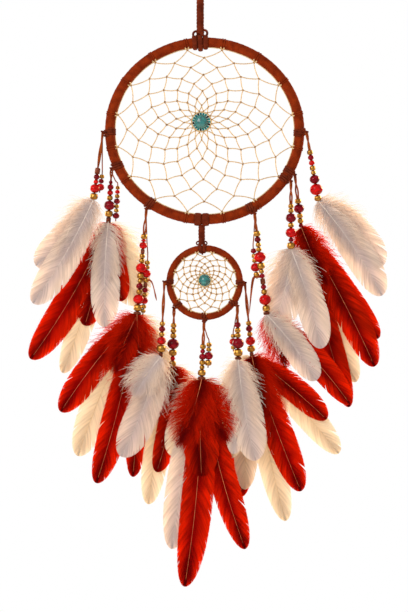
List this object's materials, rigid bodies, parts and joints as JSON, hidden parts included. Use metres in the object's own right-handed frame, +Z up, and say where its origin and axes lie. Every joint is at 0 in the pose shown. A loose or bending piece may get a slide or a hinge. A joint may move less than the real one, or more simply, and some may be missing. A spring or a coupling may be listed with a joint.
{
  "type": "dream catcher",
  "caption": "Hanging dream catcher: a large and a small suede-wrapped hoop with woven webs and turquoise stones, and beaded thongs with red, white and cream feathers.",
  "frame": {"origin": "top of the opening of the hanging loop, where a nail or hook holds it", "axes": "+Z up, the front faces -Y, +X is to the right seen from the front"},
  "size_m": [0.3533, 0.032, 0.6427],
  "materials": {
    "suede_lace": "matte",
    "suede_thong": "matte",
    "hoop_cane": "satin",
    "web_thread": "satin",
    "turquoise": "satin",
    "bead_red": "gloss",
    "bead_dark": "gloss",
    "bead_gold": "polished",
    "bead_brown": "gloss",
    "feather_white": "matte",
    "feather_red": "matte",
    "feather_cream": "matte",
    "feather_quill": "satin"
  },
  "bodies": {
    "hanger": {"hanger_loop": "suede_thong", "hanger_knot": "suede_thong", "hanger_cord": "suede_thong"},
    "large_hoop": {"hanger_hitch": "suede_thong", "large_hoop_core": "hoop_cane", "large_hoop_lace": "suede_lace", "large_web": "web_thread", "large_stone": "turquoise", "large_stone_beads": "turquoise", "link_hitch": "suede_thong"},
    "small_hoop": {"link_cord": "suede_thong", "small_hoop_core": "hoop_cane", "small_hoop_lace": "suede_lace", "small_web": "web_thread", "small_stone": "turquoise", "small_stone_beads": "turquoise"},
    "strand_hoop_left": {"thong_hoop_left": "suede_thong", "beads_hoop_left": "bead_red", "feather_hoop_left_white_1": "feather_white"},
    "strand_hoop_bottom_right": {"thong_hoop_bottom_right": "suede_thong", "beads_hoop_bottom_right": "bead_red", "feather_hoop_bottom_right_white_1": "feather_white", "feather_hoop_bottom_right_red_2": "feather_red"},
    "strand_hoop_lower_right": {"thong_hoop_lower_right": "suede_thong", "beads_hoop_lower_right": "bead_red", "feather_hoop_lower_right_white_1": "feather_white"},
    "strand_hoop_right": {"thong_hoop_right": "suede_thong", "beads_hoop_right": "bead_red", "feather_hoop_right_white_1": "feather_white"},
    "strand_ring_left": {"thong_ring_left": "suede_thong", "beads_ring_left": "bead_red", "feather_ring_left_white_1": "feather_white"},
    "strand_ring_bottom": {"thong_ring_bottom": "suede_thong", "beads_ring_bottom": "bead_red", "feather_ring_bottom_red_1": "feather_red", "feather_ring_bottom_red_2": "feather_red", "feather_ring_bottom_white_3": "feather_white"},
    "strand_ring_lower_right": {"thong_ring_lower_right": "suede_thong", "beads_ring_lower_right": "bead_red", "feather_ring_lower_right_white_1": "feather_white"},
    "strand_hoop_lower_left": {"thong_hoop_lower_left": "suede_thong", "beads_hoop_lower_left": "bead_red", "feather_hoop_lower_left_white_1": "feather_white", "feather_hoop_lower_left_red_2": "feather_red"},
    "strand_hoop_bottom_left": {"thong_hoop_bottom_left": "suede_thong", "beads_hoop_bottom_left": "bead_red", "feather_hoop_bottom_left_red_1": "feather_red", "feather_hoop_bottom_left_cream_2": "feather_cream", "feather_hoop_bottom_left_red_3": "feather_red"},
    "strand_hoop_lower_right_back": {"thong_hoop_lower_right_back": "suede_thong", "beads_hoop_lower_right_back": "bead_red", "feather_hoop_lower_right_back_red_1": "feather_red"},
    "strand_ring_lower_left": {"thong_ring_lower_left": "suede_thong", "beads_ring_lower_left": "bead_red", "feather_ring_lower_left_red_1": "feather_red", "feather_ring_lower_left_cream_2": "feather_cream"},
    "strand_ring_right": {"thong_ring_right": "suede_thong", "beads_ring_right": "bead_red", "feather_ring_right_red_1": "feather_red", "feather_ring_right_cream_2": "feather_cream"}
  },
  "joints": [
    {"name": "large_hoop_swing", "type": "hinge", "parent": "hanger", "child": "large_hoop", "pos_m": [0, 0, -0.09463], "axis": [1, 0, 0], "range_deg": [-30, 30]},
    {"name": "small_hoop_swing", "type": "hinge", "parent": "large_hoop", "child": "small_hoop", "pos_m": [0.0015, 0, -0.27178], "axis": [1, 0, 0], "range_deg": [-30, 0]},
    {"name": "swing_hoop_left", "type": "hinge", "parent": "large_hoop", "child": "strand_hoop_left", "pos_m": [-0.09698, -0.007, -0.18485], "axis": [1, 0, 0], "range_deg": [-35, 0]},
    {"name": "swing_hoop_bottom_right", "type": "hinge", "parent": "large_hoop", "child": "strand_hoop_bottom_right", "pos_m": [0.05416, -0.007, -0.26629], "axis": [1, 0, 0], "range_deg": [-35, 0]},
    {"name": "swing_hoop_lower_right", "type": "hinge", "parent": "large_hoop", "child": "strand_hoop_lower_right", "pos_m": [0.09047, -0.007, -0.23385], "axis": [1, 0, 0], "range_deg": [-35, 0]},
    {"name": "swing_hoop_right", "type": "hinge", "parent": "large_hoop", "child": "strand_hoop_right", "pos_m": [0.10598, -0.007, -0.18485], "axis": [1, 0, 0], "range_deg": [-35, 0]},
    {"name": "swing_ring_left", "type": "hinge", "parent": "small_hoop", "child": "strand_ring_left", "pos_m": [-0.03569, -0.007, -0.33421], "axis": [1, 0, 0], "range_deg": [-35, 0]},
    {"name": "swing_ring_bottom", "type": "hinge", "parent": "small_hoop", "child": "strand_ring_bottom", "pos_m": [0.0038, -0.007, -0.37424], "axis": [1, 0, 0], "range_deg": [-35, 0]},
    {"name": "swing_ring_lower_right", "type": "hinge", "parent": "small_hoop", "child": "strand_ring_lower_right", "pos_m": [0.03699, -0.007, -0.35807], "axis": [1, 0, 0], "range_deg": [-35, 0]},
    {"name": "swing_hoop_lower_left", "type": "hinge", "parent": "large_hoop", "child": "strand_hoop_lower_left", "pos_m": [-0.08886, 0.007, -0.22057], "axis": [1, 0, 0], "range_deg": [0, 35]},
    {"name": "swing_hoop_bottom_left", "type": "hinge", "parent": "large_hoop", "child": "strand_hoop_bottom_left", "pos_m": [-0.05398, 0.007, -0.26107], "axis": [1, 0, 0], "range_deg": [0, 35]},
    {"name": "swing_hoop_lower_right_back", "type": "hinge", "parent": "large_hoop", "child": "strand_hoop_lower_right_back", "pos_m": [0.09485, 0.007, -0.22661], "axis": [1, 0, 0], "range_deg": [0, 35]},
    {"name": "swing_ring_lower_left", "type": "hinge", "parent": "small_hoop", "child": "strand_ring_lower_left", "pos_m": [-0.02626, 0.007, -0.36023], "axis": [1, 0, 0], "range_deg": [0, 35]},
    {"name": "swing_ring_right", "type": "hinge", "parent": "small_hoop", "child": "strand_ring_right", "pos_m": [0.0447, 0.007, -0.33489], "axis": [1, 0, 0], "range_deg": [0, 35]}
  ]
}
